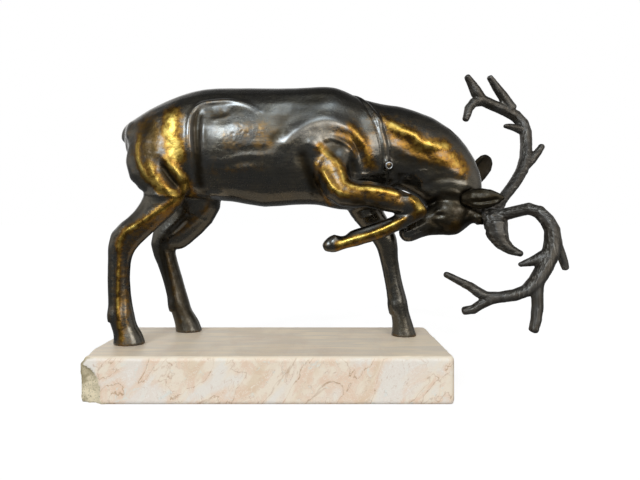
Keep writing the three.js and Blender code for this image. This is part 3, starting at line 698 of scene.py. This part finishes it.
def parted(figure):
    """The figure parted at the seam and at the legs' joints, as one closed mesh for each casting."""
    mesh = bmesh.new()
    mesh.from_mesh(figure.data)
    for side in (1, -1):
        plane_cut(
            mesh,
            lambda c, side=side: c[0] > 60 and side * (c[1] - SEAM_POINT[1]) < 2,
            SEAM_POINT,
            [1, side * SEAM_SWEEP, SEAM_SLANT],
        )
    for leg, (point, normal) in LEG_CUTS.items():
        low, high = box_mm(leg)
        plane_cut(
            mesh,
            lambda c, low=low, high=high: all(low[i] - 3 < c[i] < high[i] + 3 for i in range(3)),
            point,
            normal,
        )
    mesh.faces.ensure_lookup_table()
    centres = np.array([f.calc_center_median() for f in mesh.faces]) / MM
    names = part_of(centres)
    for index, face in enumerate(mesh.faces):
        face.index = index
    pieces = {}
    for node in BODY_NODES + LEG_NODES:
        part = mesh.copy()
        part.faces.ensure_lookup_table()
        others = [part.faces[i] for i in (names != node).nonzero()[0]]
        bmesh.ops.delete(part, geom=others, context="FACES")
        rims = [e for e in part.edges if e.is_boundary]
        filled = bmesh.ops.holes_fill(part, edges=rims, sides=0)
        bmesh.ops.triangulate(part, faces=filled["faces"])
        pieces[node] = stored(node + "_skin", part)
    mesh.free()
    bpy.data.objects.remove(figure)
    return pieces


def finish_piece(obj, name, node, material, sharp=50):
    """Names and shades a piece that rides on the root body and stands for a CAD node."""
    obj.name = name
    obj.data.shade_smooth()
    obj.data.set_sharp_from_angle(angle=math.radians(sharp))
    obj.data.materials.clear()
    obj.data.materials.append(material)
    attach(obj, "root")
    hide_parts(node)


# ---- antlers and ears


def reach_from(skin, start):
    """The distance along the skin from the start points to every point."""
    reach = np.where(start, 0.0, 1e6)
    lengths = norm(skin.points[skin.neighbours] - skin.points[:, None, :], axis=2)
    lengths[skin.share == 0] = 1e6
    while True:
        shorter = np.minimum(reach, (reach[skin.neighbours] + lengths).min(axis=1))
        if np.allclose(shorter, reach, atol=1e-6):
            return reach
        reach = shorter


def along_beam(skin, reach):
    """For each neighbour, how nearly it lies along the direction in which `reach` grows."""
    steps = skin.points[skin.neighbours] - skin.points[:, None, :]
    lengths = np.maximum(norm(steps, axis=2), 1e-9)
    rise = (reach[skin.neighbours] - reach[:, None]) / lengths
    growth = np.einsum("ij,ijk->ik", rise * (skin.share > 0), steps / lengths[:, :, None])
    growth = skin.relaxed(growth, 8)
    growth /= np.maximum(norm(growth, axis=1), 1e-9)[:, None]
    cosine = np.einsum("ijk,ik->ij", steps, growth) / lengths
    weight = np.exp(-9 * (1 - cosine**2)) * (skin.share > 0)
    return weight / np.maximum(weight.sum(axis=1), 1e-9)[:, None]


def grained_antler(node, burr_at, seed):
    """An antler with lengthwise grain and a knobbly burr."""
    obj = remeshed(node + "_skin", [node], ANTLER_VOXEL)
    skin = Skin(obj)
    skin.smooth(10)
    p = skin.points
    from_burr = norm(p - burr_at, axis=1)
    reach = reach_from(skin, from_burr < 6)
    weight = along_beam(skin, reach)
    grain = np.random.default_rng(seed).normal(size=skin.count)
    for _ in range(GRAIN_ROUNDS):
        grain = 0.3 * grain + 0.7 * (weight * grain[skin.neighbours]).sum(axis=1)
    grain = grain / grain.std()
    at_burr = 1 - soft_step(9, 14, from_burr)
    knobs = noise_at(p, 3.6, seed) + 0.5 * noise_at(p, 1.8, seed + 1)
    lumps = noise_at(p, 14, seed + 2)
    lift = 0.09 * np.clip(grain, -2, 2) * (1 - at_burr) + (1.2 * knobs + 1.0) * at_burr + 0.3 * lumps
    skin.push(lift)
    skin.paint("grain", np.clip(0.5 + 0.25 * grain, 0, 1) * (1 - at_burr) + 0.5 * at_burr)
    skin.paint("foot", at_burr)
    return obj


def cupped_ear(node, root, tip, opening):
    """An ear with a groove for its opening along the side that `opening` points to."""
    obj = remeshed(node + "_skin", [node], EAR_VOXEL)
    skin = Skin(obj)
    skin.smooth(8)
    root, tip, opening = (np.array(v, float) for v in (root, tip, opening))
    axis = (tip - root) / norm(tip - root)
    opening = opening - axis * (opening @ axis)
    opening /= norm(opening)
    off = skin.points - root
    along = off @ axis / norm(tip - root)
    across = np.abs(off @ np.cross(axis, opening) + EAR_OPENING)
    facing = soft_step(0.1, 0.6, skin.normals @ opening)
    inside = soft_step(0.12, 0.35, along) * soft_step(0.98, 0.8, along)
    skin.push(-1.5 * bell(across, 1.7) * facing * inside)
    skin.push(0.12 * noise_at(skin.points, 4, 6))
    skin.paint("rub_and_sheen", np.zeros(skin.count))
    skin.paint("patina_and_shade", 0.82 + 0.15 * facing * inside)
    skin.paint("crest", crest_of(skin))
    return obj


# ---- slab and screws


def worn_slab():
    """The marble slab with flat faces, edges with wear, nicks and a rough broken corner."""
    obj = remeshed("slab_skin", ["marble_base"], SLAB_VOXEL)
    skin = Skin(obj)
    p, n = skin.points, skin.normals
    sides = [(0, SLAB_LOW[0], -1), (0, SLAB_HIGH[0], 1), (1, SLAB_LOW[1], -1), (1, SLAB_HIGH[1], 1)]
    levels = [(2, SLAB_HIGH[2], 1), (2, SLAB_LOW[2], -1)]
    flat = np.zeros(skin.count, bool)
    for axis, value, sign in sides + levels:
        on_face = (np.abs(p[:, axis] - value) < SLAB_VOXEL * 0.9) & (n[:, axis] * sign > 0.93)
        p[on_face, axis] = value
        flat |= on_face
    skin.update()
    skin.smooth(4, keep=flat * 1.0)
    p, n = skin.points, skin.normals
    knock, flake = (norm((p - centre) / radii, axis=1) for centre, radii in (KNOCK, FLAKE))
    broken = soft_step(1.16, 1.06, flake) * ~flat
    knocked = soft_step(1.2, 1.06, knock) * ~flat
    rough = 0.9 * noise_at(p, 7, 11) + 0.5 * noise_at(p, 3.2, 12)
    edge = ~flat * (1 - broken) * (p[:, 2] > 5)
    nicks = np.minimum(0, noise_at(p, 9, 13) + 0.18) * 1.6 + 0.25 * noise_at(p, 4, 14)
    skin.push(rough * np.maximum(broken, 0.5 * knocked) + nicks * edge)
    skin.points = np.clip(skin.points, SLAB_LOW, SLAB_HIGH)
    skin.update()
    skin.paint("broken", broken)
    skin.paint("edge", skin.relaxed(edge * 1.0, 2))
    return obj


def screw_profile(length):
    """Radius and height below the head's top, in millimetres, from the pin in its recess to the tip."""
    pin = [[0.0, 0.0], [0.7, -0.15], [1.1, -0.5]]
    recess = [[1.15, -1.4], [1.9, -1.5], [2.1, -0.6]]
    rim = [[2.5, -0.12], [3.0, -0.05], [3.5, -0.4]]
    head = [[SCREW_HEAD, -1.0], [SCREW_HEAD, -2.6]]
    shank = [[SCREW_SHANK, -2.9], [SCREW_SHANK, 0.6 - length]]
    tip = [[1.5, -length], [0.0, -length]]
    return pin + recess + rim + head + shank + tip


def turned_screw(node):
    """A domed cap screw along its CAD node: a rounded rim, a deep recess and a pin in the middle."""
    points = node_points(node)
    centre = points.mean(0)
    spread = points - centre
    axis = np.linalg.svd(spread, full_matrices=False)[2][0]
    outward = -1 if centre[1] < STAG_Y * MM else 1
    if axis[1] * outward < 0:
        axis = -axis
    along = spread @ axis
    top = Vector(centre + axis * along.max())
    axis = Vector(axis)
    side = axis.orthogonal().normalized()
    up = axis.cross(side)
    mesh = bmesh.new()
    rings = []
    for radius, height in screw_profile((along.max() - along.min()) / MM):
        spots = []
        for i in range(SCREW_SIDES if radius else 1):
            angle = 2 * math.pi * i / SCREW_SIDES
            out = side * math.cos(angle) + up * math.sin(angle)
            spots.append(mesh.verts.new(top + axis * height * MM + out * radius * MM))
        rings.append(spots)
    for a, b in zip(rings, rings[1:]):
        for i in range(SCREW_SIDES):
            j = (i + 1) % SCREW_SIDES
            corners = [a[i % len(a)], a[j % len(a)], b[j % len(b)], b[i % len(b)]]
            mesh.faces.new(dict.fromkeys(corners))
    bmesh.ops.recalc_face_normals(mesh, faces=mesh.faces)
    return stored(node + "_turned", mesh)


# ---- materials


class Nodes:
    """A node tree, built from inputs given by name."""

    def __init__(self, owner):
        owner.use_nodes = True
        self.tree = owner.node_tree
        self.tree.nodes.clear()
        self.coordinates = self.node("TexCoord")

    def node(self, kind, inputs=None, **settings):
        """A new shader node, with sockets linked and plain values set."""
        made = self.tree.nodes.new("ShaderNode" + kind)
        for key, value in settings.items():
            setattr(made, key, value)
        for key, value in (inputs or {}).items():
            if isinstance(value, bpy.types.NodeSocket):
                self.tree.links.new(value, made.inputs[key])
            else:
                made.inputs[key].default_value = value
        return made

    def noise(self, size, detail=4, roughness=0.55, stretch=(1, 1, 1), distortion=0, seed=0, place=None):
        """Noise with lumps of about `size` millimetres, stretched along the axes."""
        inputs = {
            "Vector": place or self.coordinates.outputs["Object"],
            "Scale": [1 / s for s in stretch],
            "Location": (seed, seed / 3, 0),
        }
        mapped = self.node("Mapping", inputs).outputs["Vector"]
        inputs = {"Vector": mapped, "Scale": 1 / (size * MM)}
        inputs.update({"Detail": detail, "Roughness": roughness, "Distortion": distortion})
        return self.node("TexNoise", inputs).outputs["Fac"]

    def attribute(self, name):
        return self.node("Attribute", attribute_name=name).outputs["Fac"]

    def math(self, operation, a, b=0.0, c=0.0):
        return self.node("Math", {0: a, 1: b, 2: c}, operation=operation).outputs[0]

    def times(self, a, b):
        return self.math("MULTIPLY", a, b)

    def vector(self, operation, a, b, output=0):
        return self.node("VectorMath", {0: a, 1: b}, operation=operation).outputs[output]

    def line_at(self, value, level, width):
        """1 where the value passes through a level, falling to 0 within `width` of it: a thin vein."""
        off = self.math("ABSOLUTE", self.math("SUBTRACT", value, level))
        return self.fit(off, 0.0, width, 1.0, 0.0)

    def fit(self, value, low, high, to_low=0.0, to_high=1.0):
        """The value carried smoothly from one range to another."""
        inputs = {"Value": value, "From Min": low, "From Max": high, "To Min": to_low, "To Max": to_high}
        return self.node("MapRange", inputs, interpolation_type="SMOOTHSTEP").outputs[0]

    def mix(self, factor, a, b):
        """One colour carried towards another."""
        a, b = ((*colour, 1) if isinstance(colour, tuple) else colour for colour in (a, b))
        return self.node("Mix", {0: factor, 6: a, 7: b}, data_type="RGBA").outputs[2]

    def bump(self, height, distance, normal=None):
        """The normal tilted by a height of up to `distance` millimetres."""
        inputs = {"Height": height, "Distance": distance * MM, "Strength": 1.0}
        if normal is not None:
            inputs["Normal"] = normal
        return self.node("Bump", inputs).outputs["Normal"]

    def for_camera(self, seen, otherwise):
        """One shader where the camera looks straight at it, and another for everything else."""
        camera_ray = self.node("LightPath").outputs["Is Camera Ray"]
        inputs = {0: camera_ray, 1: otherwise.outputs[0], 2: seen.outputs[0]}
        return self.node("MixShader", inputs)

    def finish(self, kind, shader):
        output = self.node(kind)
        self.tree.links.new(shader.outputs[0], output.inputs["Surface"])


class Shader(Nodes):
    """A node material."""

    def __init__(self, name):
        self.material = bpy.data.materials.new(name)
        super().__init__(self.material)

    def surface(self, colour, roughness, normal, **more):
        """The finished material. Further inputs go by their names, with underscores for spaces."""
        inputs = {"Base Color": colour, "Roughness": roughness, "Normal": normal}
        inputs.update({name.replace("_", " "): value for name, value in more.items()})
        self.finish("OutputMaterial", self.node("BsdfPrincipled", inputs))
        return self.material


def bronze_material():
    """Dark lacquered patina, rubbed through to golden metal where hands and edges have rubbed it, and golden
    metal painted as a warm sheen on the broad lit forms.
    """
    s = Shader("bronze_patina")
    rub_and_sheen = s.attribute("rub_and_sheen")
    crest = s.attribute("crest")
    shine = s.attribute("shine")
    cloud = s.noise(22, detail=3, seed=1)
    blotch = s.noise(6, detail=4, seed=2)
    # dark patina, and painted shade laid over reflections and undersides
    patina_and_shade = s.times(s.attribute("patina_and_shade"), s.fit(blotch, 0.3, 0.65, 0.7, 1.05))
    brushed = s.noise(1.3, detail=3, stretch=(16, 2, 1), seed=3)
    grit = s.noise(0.9, detail=3, seed=4)
    # rubbed metal and painted golden sheen, with more wear on the crests
    wear_and_sheen = s.times(rub_and_sheen, s.fit(cloud, 0.3, 0.65, 0.68, 1.06))
    uneven = [s.fit(crest, 0.55, 0.95, 0, 0.16)]
    uneven += [s.fit(blotch, 0.3, 0.7, -0.09, 0.08), s.fit(brushed, 0.3, 0.7, -0.03, 0.03)]
    for more in uneven:
        wear_and_sheen = s.math("ADD", wear_and_sheen, more)
    patina = s.mix(s.fit(cloud, 0.3, 0.7), (0.062, 0.059, 0.051), (0.088, 0.076, 0.054))
    patina = s.mix(s.fit(brushed, 0.45, 0.7, 0, 0.45), patina, (0.042, 0.036, 0.029))
    amber = s.mix(s.fit(blotch, 0.35, 0.65), (0.13, 0.063, 0.011), (0.25, 0.130, 0.022))
    gold = s.mix(s.fit(blotch, 0.35, 0.65), (0.50, 0.32, 0.052), (0.66, 0.48, 0.12))
    # amber at the rims of the rubbed and sheen-painted patches, bright gold where the painted sheen is
    # strongest
    metal = s.mix(s.fit(wear_and_sheen, 0.4, 1.0), amber, gold)
    # patina, turning to rubbed gold and painted golden sheen
    colour = s.mix(s.fit(wear_and_sheen, 0.05, 0.48), patina, metal)
    colour = s.mix(s.fit(crest, 0.44, 0.2, 0, 0.85), colour, (0.016, 0.013, 0.009))
    # darker under patina and under painted shade
    colour = s.mix(s.fit(patina_and_shade, 0.05, 0.9, 0, 0.94), colour, (0.026, 0.019, 0.010))
    height = s.math("MULTIPLY_ADD", brushed, 0.6, grit)
    hammered = s.bump(s.noise(3.0, detail=2, seed=15), 0.28)
    lacquer = s.times(s.fit(wear_and_sheen, 0.08, 0.42, 1, 0.10), s.fit(patina_and_shade, 0.1, 0.7, 1, 0.12))
    roughness = s.math("MULTIPLY_ADD", patina_and_shade, 0.16, s.fit(blotch, 0.3, 0.7, 0.24, 0.34))
    lacquer = s.times(lacquer, s.fit(shine, 0, 1, 0.5, 1))
    coat = {"Coat_Weight": lacquer, "Coat_Roughness": 0.12, "Coat_IOR": 1.8}
    return s.surface(colour, roughness, s.bump(height, 0.05, hammered), Metallic=1, **coat)


def antler_material():
    """Matte grey-brown bronze with lengthwise grain, paler on the crests that wear has rubbed."""
    s = Shader("antler_bronze")
    grain = s.attribute("grain")
    foot = s.attribute("foot")
    cloud = s.noise(12, seed=4)
    fleck = s.noise(1.4, detail=5, seed=5)
    base = s.mix(s.fit(cloud, 0.3, 0.7), (0.060, 0.050, 0.038), (0.080, 0.074, 0.066))
    colour = s.mix(s.fit(grain, 0.5, 0.12, 0, 0.55), base, (0.030, 0.025, 0.019))
    colour = s.mix(s.fit(grain, 0.62, 0.95, 0, 0.8), colour, (0.19, 0.175, 0.15))
    colour = s.mix(s.times(foot, s.fit(fleck, 0.45, 0.62, 0, 0.7)), colour, (0.17, 0.155, 0.135))
    height = s.math("MULTIPLY_ADD", fleck, 0.3, grain)
    roughness = s.fit(fleck, 0.3, 0.7, 0.42, 0.55)
    coat = {"Coat_Weight": 0.2, "Coat_Roughness": 0.3}
    return s.surface(colour, roughness, s.bump(height, 0.10), Metallic=0.8, **coat)


def marble_material():
    """Creamy pink marble: soft leaning bands, thin curling veins, a top lighter with dust and painted light,
    and rough where it broke.
    """
    s = Shader("pink_marble")
    broken, edge = s.attribute("broken"), s.attribute("edge")
    turned = {"Vector": s.coordinates.outputs["Object"], "Rotation": (0, math.radians(VEIN_SLANT), 0)}
    turned = s.node("Mapping", turned).outputs[0]
    band = s.noise(30, detail=5, roughness=0.5, stretch=(1, 2, 2.4), distortion=0.6, seed=6, place=turned)
    patch = s.noise(19, detail=6, roughness=0.58, stretch=(1, 1.5, 1.6), distortion=1.3, seed=7, place=turned)
    curl = s.noise(11, detail=5, roughness=0.6, stretch=(1.3, 1.5, 1), distortion=1.8, seed=8)
    fine = s.noise(1.6, detail=6, seed=9)
    colour = s.mix(s.fit(patch, 0.40, 0.58), (0.83, 0.71, 0.57), (0.78, 0.58, 0.43))
    colour = s.mix(s.fit(band, 0.50, 0.60, 0, 0.75), colour, (0.80, 0.74, 0.67))
    colour = s.mix(s.fit(band, 0.44, 0.34, 0, 0.6), colour, (0.72, 0.54, 0.36))
    colour = s.mix(s.fit(curl, 0.60, 0.70, 0, 0.7), colour, (0.74, 0.73, 0.67))
    lines = s.times(s.line_at(band, 0.50, 0.009), s.fit(patch, 0.38, 0.55, 0.35, 1.0))
    colour = s.mix(lines, colour, (0.52, 0.33, 0.20))
    lines = s.times(s.line_at(patch, 0.47, 0.008), s.fit(curl, 0.40, 0.58, 0.1, 0.8))
    colour = s.mix(lines, colour, (0.58, 0.40, 0.28))
    lines = s.times(s.line_at(curl, 0.5, 0.012), s.fit(patch, 0.42, 0.58, 0.1, 0.85))
    colour = s.mix(lines, colour, (0.90, 0.86, 0.80))
    colour = s.mix(s.fit(fine, 0.42, 0.70, 0, 0.14), colour, (0.62, 0.50, 0.37))
    up = s.node("SeparateXYZ", {"Vector": s.node("NewGeometry").outputs["Normal"]})
    streak = s.noise(9, detail=5, stretch=(7, 1, 1), distortion=0.4, seed=10)
    # the top is painted lighter: dust, and light falling on it
    top_dust_and_light = s.mix(s.fit(streak, 0.38, 0.62), (0.86, 0.72, 0.56), (1.0, 0.82, 0.60))
    top_dust_and_light_mask = s.times(s.fit(up.outputs["Z"], 0.5, 0.95), s.fit(band, 0.38, 0.55, 0.6, 0.95))
    colour = s.mix(top_dust_and_light_mask, colour, top_dust_and_light)
    # edges painted lighter: wear, and a painted highlight along the bevels
    colour = s.mix(s.times(edge, 0.6), colour, (0.88, 0.77, 0.60))
    chip = s.mix(s.fit(patch, 0.4, 0.6), (0.36, 0.29, 0.17), (0.72, 0.61, 0.42))
    chip = s.mix(s.fit(fine, 0.5, 0.72, 0, 0.8), chip, (0.20, 0.16, 0.09))
    colour = s.mix(broken, colour, chip)
    roughness = s.math("MULTIPLY_ADD", broken, 0.35, s.fit(fine, 0.3, 0.7, 0.34, 0.48))
    height = s.math("MULTIPLY_ADD", broken, fine, fine)
    return s.surface(colour, roughness, s.bump(height, 0.12), Specular_IOR_Level=0.4)


def felt_material():
    """Dark green felt with a fuzz of paler fibres."""
    s = Shader("green_felt")
    fibre = s.noise(0.5, detail=8, roughness=0.7, seed=9)
    cloud = s.noise(14, seed=10)
    colour = s.mix(s.fit(cloud, 0.3, 0.7), (0.020, 0.060, 0.035), (0.035, 0.085, 0.050))
    colour = s.mix(s.fit(fibre, 0.45, 0.75, 0, 0.5), colour, (0.08, 0.13, 0.09))
    return s.surface(colour, 0.95, s.bump(fibre, 0.25), Sheen_Weight=0.4)


def steel_material():
    """Brushed steel, for pins, washers, nuts, studs and screws."""
    s = Shader("brushed_steel")
    lines = s.noise(0.5, detail=4, stretch=(1, 1, 8), seed=11)
    cloud = s.noise(5, seed=12)
    colour = s.mix(s.fit(cloud, 0.3, 0.7), (0.36, 0.36, 0.35), (0.52, 0.52, 0.53))
    return s.surface(colour, s.fit(lines, 0.3, 0.7, 0.28, 0.45), s.bump(lines, 0.05), Metallic=1)


# ---- stage, light and camera


def add_floor():
    """A pale floor: nearly white for the camera, as a lit paper sweep, and a dim table in reflections."""
    s = Shader("pale_floor")
    speck = s.noise(60, detail=3, seed=13)
    colour = s.mix(s.fit(speck, 0.3, 0.7), (0.24, 0.235, 0.23), (0.28, 0.275, 0.27))
    paper = s.node("BsdfDiffuse", {"Color": colour})
    glow = s.node("Emission", {"Color": (1, 1, 1, 1), "Strength": 0.86})
    seen = s.node("AddShader", {0: paper.outputs[0], 1: glow.outputs[0]})
    s.finish("OutputMaterial", s.for_camera(seen, paper))
    mesh = bmesh.new()
    bmesh.ops.create_grid(mesh, x_segments=8, y_segments=8, size=FLOOR_SIZE)
    data = stored("floor", mesh)
    data.materials.append(s.material)
    linked("floor", data)


# Soft windows of the room: direction from the object, sharpness, strength and colour.
WINDOWS = [
    ((-0.40, -0.85, 0.42), 70, 15.5, (0.78, 0.91, 1.05)),
    ((0.05, -0.80, 0.26), 4.5, 1.15, (1.0, 0.98, 0.94)),
    ((0.42, -0.85, 0.25), 60, 7.0, (1.0, 0.96, 0.88)),
    ((0.10, -0.65, 0.75), 60, 3.8, (0.74, 0.90, 1.05)),
    ((-0.95, -0.25, 0.15), 10, 0.8, (1.0, 0.95, 0.86)),
    ((0.95, -0.20, 0.20), 10, 0.7, (1.0, 0.96, 0.90)),
    ((-0.55, 0.80, 0.35), 9, 1.1, (1.0, 0.99, 0.97)),
    ((0.60, 0.75, 0.30), 12, 0.9, (1.0, 0.99, 0.97)),
]
DIM_ROOM = (0.045, 0.047, 0.050)
FLOOR_SIZE = 30.0  # metres

# The camera: its place in millimetres, its lens, and how far its frame is shifted, in frame widths.
CAMERA_PLACE = Vector((46, -448.5, 151.5))
SENSOR_WIDTH = 36.0
FOCAL_LENGTH = 26.325
FRAME_SHIFT = (-0.0022, -0.0256)


def add_world():
    """White for the camera; for everything else a dim room with soft windows, brightest in front."""
    world = bpy.data.worlds.new("room")
    bpy.context.scene.world = world
    s = Nodes(world)
    direction = s.coordinates.outputs["Generated"]
    light = DIM_ROOM
    for place, sharpness, strength, colour in WINDOWS:
        toward = s.vector("DOT_PRODUCT", direction, Vector(place).normalized(), output="Value")
        glow = s.math("EXPONENT", s.math("MULTIPLY_ADD", toward, sharpness, -sharpness))
        glow = s.times(glow, strength)
        even = s.node("CombineXYZ", {0: glow, 1: glow, 2: glow}).outputs[0]
        light = s.vector("ADD", light, s.vector("MULTIPLY", colour, even))
    room = s.node("Background", {"Color": light})
    white = s.node("Background", {"Color": (1, 1, 1, 1)})
    s.finish("OutputWorld", s.for_camera(white, room))


def add_camera():
    """A short way in front of the slab, level with the tops of the stag's legs, looking straight across."""
    data = bpy.data.cameras.new("camera")
    data.sensor_width = SENSOR_WIDTH
    data.lens = FOCAL_LENGTH
    data.shift_x, data.shift_y = FRAME_SHIFT
    data.clip_start = 0.01
    camera = linked("camera", data)
    camera.location = CAMERA_PLACE * MM
    camera.rotation_euler = (math.pi / 2, 0, 0)
    bpy.context.scene.camera = camera


def add_stage():
    """Floor, light and camera, with colours shown as they are."""
    add_floor()
    add_world()
    add_camera()
    bpy.context.scene.view_settings.view_transform = "Standard"


# ---- assembly


def build():
    """Every piece, each in place of its CAD node, and materials for the nodes that stay as they are."""
    bronze, antler_bronze = bronze_material(), antler_material()
    marble, felt, steel = marble_material(), felt_material(), steel_material()

    for node, data in parted(sculpted_figure()).items():
        name = node + "_bronze"
        finish_piece(linked(name, data), name, node, bronze)
    for node, line in EARS.items():
        finish_piece(cupped_ear(node, *line), node + "_bronze", node, bronze)
    for seed, (node, burr) in enumerate(BURRS.items(), FIRST_ANTLER_SEED):
        finish_piece(grained_antler(node, burr, seed), node + "_bronze", node, antler_bronze)
    for node in SCREW_NODES:
        name = node + "_turned"
        finish_piece(linked(name, turned_screw(node)), name, node, steel)
    finish_piece(worn_slab(), "marble_slab", "marble_base", marble, sharp=60)

    for node, material in [("base_felt", felt)] + [(node, steel) for node in STEEL_NODES]:
        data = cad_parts[node].data
        data.materials.clear()
        data.materials.append(material)


build()
add_stage()
